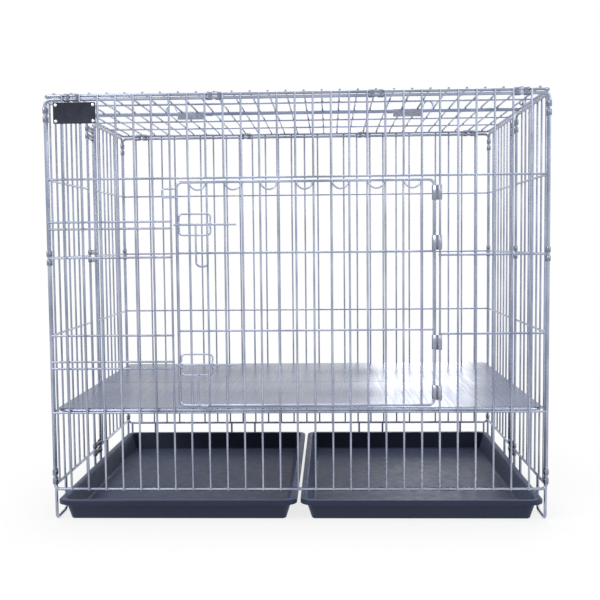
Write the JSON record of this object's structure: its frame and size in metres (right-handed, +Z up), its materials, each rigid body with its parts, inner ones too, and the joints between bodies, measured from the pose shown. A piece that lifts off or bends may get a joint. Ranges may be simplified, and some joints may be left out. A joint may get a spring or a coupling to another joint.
{
  "type": "wire dog crate",
  "caption": "Welded wire dog crate with a bolted front door, a hinged two-piece top, a steel floor plate and pull-out plastic trays underneath.",
  "frame": {"origin": "on the floor, under the middle of the whole crate's bounding box", "axes": "+Z up, +X to the right of the front, which has the door and faces -Y"},
  "size_m": [0.9294, 0.6091, 0.7922],
  "materials": {
    "stainless_wire": "bright drawn wire",
    "band_sheet": "plain sheet",
    "steel_sheet": "brushed along the depth",
    "tray_plastic": "fine grained, slightly glossy",
    "plate_plastic": "satin, bare",
    "rivet_metal": "bright"
  },
  "bodies": {
    "cage": {"front_panel": "stainless_wire", "back_panel": "stainless_wire", "left_side_front": "stainless_wire", "left_side_rear": "stainless_wire", "right_side_front": "stainless_wire", "right_side_rear": "stainless_wire", "left_front_corner_bands": "band_sheet", "left_rear_corner_bands": "band_sheet", "right_front_corner_bands": "band_sheet", "right_rear_corner_bands": "band_sheet", "left_fold_bands": "band_sheet", "right_fold_bands": "band_sheet", "top_front_hinges": "band_sheet", "top_rear_hinges": "band_sheet", "floor_frame": "stainless_wire", "front_floor_plate": "steel_sheet", "rear_floor_plate": "steel_sheet", "nameplate": "plate_plastic", "nameplate_rivets": "rivet_metal"},
    "door_leaf": {"door": "stainless_wire", "door_scallops": "stainless_wire", "door_stop_loop": "stainless_wire", "door_hinges": "band_sheet", "high_latch_bracket": "stainless_wire", "low_latch_bracket": "stainless_wire"},
    "high_bolt": {"high_bolt_rod": "stainless_wire"},
    "high_handle": {"high_bolt_handle": "stainless_wire"},
    "low_bolt": {"low_bolt_rod": "stainless_wire"},
    "low_handle": {"low_bolt_handle": "stainless_wire"},
    "left_pan": {"left_tray": "tray_plastic"},
    "right_pan": {"right_tray": "tray_plastic"},
    "top_front": {"top_front_panel": "stainless_wire", "left_top_latch_sleeve": "band_sheet", "right_top_latch_sleeve": "band_sheet", "left_hook_eye": "stainless_wire", "right_hook_eye": "stainless_wire"},
    "top_rear": {"top_rear_panel": "stainless_wire", "left_top_keeper": "band_sheet", "right_top_keeper": "band_sheet"},
    "left_top_bar": {"left_top_bolt": "stainless_wire"},
    "right_top_bar": {"right_top_bolt": "stainless_wire"},
    "left_hook": {"left_side_hook": "stainless_wire"},
    "right_hook": {"right_side_hook": "stainless_wire"}
  },
  "joints": [
    {"name": "door_swing", "type": "hinge", "parent": "cage", "child": "door_leaf", "pos_m": [0.25543, -0.29935, 0.412], "axis": [0, 0, 1], "range_deg": [0, 170]},
    {"name": "high_bolt_slide", "type": "slide", "parent": "door_leaf", "child": "high_bolt", "axis": [-1, 0, 0], "range_m": [0, 0.027]},
    {"name": "high_handle_swing", "type": "hinge", "parent": "high_bolt", "child": "high_handle", "pos_m": [-0.16875, -0.29515, 0.54], "axis": [-1, 0, 0], "range_deg": [0, 90]},
    {"name": "low_bolt_slide", "type": "slide", "parent": "door_leaf", "child": "low_bolt", "axis": [-1, 0, 0], "range_m": [0, 0.027]},
    {"name": "low_handle_swing", "type": "hinge", "parent": "low_bolt", "child": "low_handle", "pos_m": [-0.16875, -0.29515, 0.287], "axis": [-1, 0, 0], "range_deg": [0, 90]},
    {"name": "left_tray_slide", "type": "slide", "parent": "cage", "child": "left_pan", "axis": [0, -1, 0], "range_m": [0, 0.56]},
    {"name": "right_tray_slide", "type": "slide", "parent": "cage", "child": "right_pan", "axis": [0, -1, 0], "range_m": [0, 0.56]},
    {"name": "top_front_lift", "type": "hinge", "parent": "cage", "child": "top_front", "pos_m": [0, -0.2943, 0.771], "axis": [1, 0, 0], "range_deg": [0, 115]},
    {"name": "top_rear_lift", "type": "hinge", "parent": "cage", "child": "top_rear", "pos_m": [0, 0.2977, 0.771], "axis": [-1, 0, 0], "range_deg": [0, 115]},
    {"name": "left_top_bolt_slide", "type": "slide", "parent": "top_front", "child": "left_top_bar", "axis": [1, 0, 0], "range_m": [0, 0.014]},
    {"name": "right_top_bolt_slide", "type": "slide", "parent": "top_front", "child": "right_top_bar", "axis": [-1, 0, 0], "range_m": [0, 0.014]},
    {"name": "left_hook_swing", "type": "hinge", "parent": "top_front", "child": "left_hook", "pos_m": [-0.447, -0.07855, 0.7792], "axis": [0, -1, 0], "range_deg": [0, 26]},
    {"name": "right_hook_swing", "type": "hinge", "parent": "top_front", "child": "right_hook", "pos_m": [0.447, -0.07855, 0.7792], "axis": [0, 1, 0], "range_deg": [0, 26]}
  ]
}
